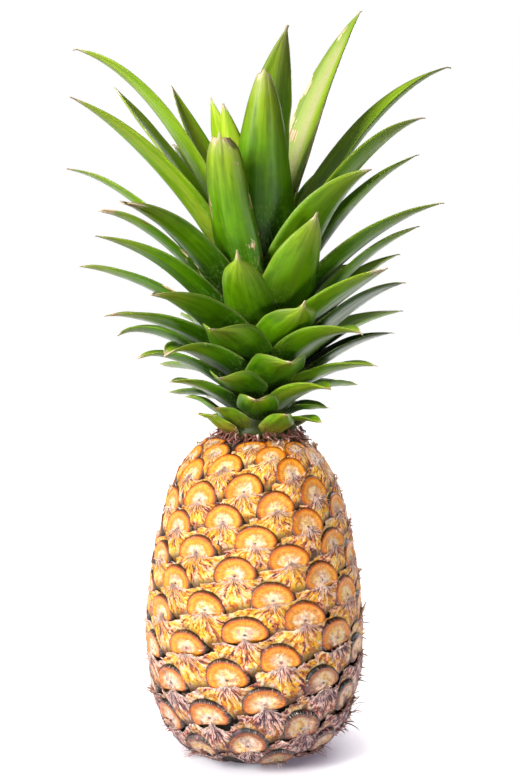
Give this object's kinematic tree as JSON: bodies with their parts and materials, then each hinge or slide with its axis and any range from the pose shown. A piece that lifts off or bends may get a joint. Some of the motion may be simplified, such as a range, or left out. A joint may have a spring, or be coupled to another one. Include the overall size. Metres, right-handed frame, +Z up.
{
  "type": "pineapple",
  "caption": "Ripe pineapple with spiral rows of scaly eyes and a tall leafy crown, standing upright on its base.",
  "frame": {"origin": "middle of the cut stalk's face in the base, where the fruit stands", "axes": "+Z up along the fruit through the crown, -Y out of the front of the fruit"},
  "size_m": [0.1996, 0.1655, 0.3923],
  "materials": {
    "fruit_skin": "semi-gloss ripe rind with dry bracts",
    "cut_stalk": "dry fibrous cut",
    "crown_stem": "satin young leaves",
    "leaf": "glossy waxy leaf"
  },
  "bodies": {
    "root": {"fruit": "fruit_skin", "cut_stalk": "cut_stalk", "crown_stem": "crown_stem", "leaf_77": "leaf", "leaf_75": "leaf", "leaf_74": "leaf", "leaf_73": "leaf", "leaf_72": "leaf", "leaf_71": "leaf", "leaf_70": "leaf", "leaf_69": "leaf", "leaf_68": "leaf", "leaf_67": "leaf", "leaf_66": "leaf", "leaf_65": "leaf", "leaf_64": "leaf", "leaf_63": "leaf", "leaf_62": "leaf", "leaf_61": "leaf", "leaf_60": "leaf", "leaf_59": "leaf", "leaf_58": "leaf", "leaf_57": "leaf", "leaf_56": "leaf", "leaf_54": "leaf", "leaf_53": "leaf", "leaf_52": "leaf", "leaf_51": "leaf", "leaf_50": "leaf", "leaf_49": "leaf", "leaf_48": "leaf", "leaf_47": "leaf", "leaf_46": "leaf", "leaf_45": "leaf", "leaf_44": "leaf", "leaf_43": "leaf", "leaf_42": "leaf", "leaf_41": "leaf", "leaf_40": "leaf", "leaf_39": "leaf", "leaf_38": "leaf", "leaf_37": "leaf", "leaf_36": "leaf", "leaf_35": "leaf", "leaf_34": "leaf", "leaf_33": "leaf", "leaf_32": "leaf", "leaf_31": "leaf", "leaf_30": "leaf", "leaf_29": "leaf", "leaf_28": "leaf", "leaf_27": "leaf", "leaf_26": "leaf", "leaf_25": "leaf", "leaf_24": "leaf", "leaf_23": "leaf", "leaf_22": "leaf", "leaf_21": "leaf"}
  },
  "joints": []
}
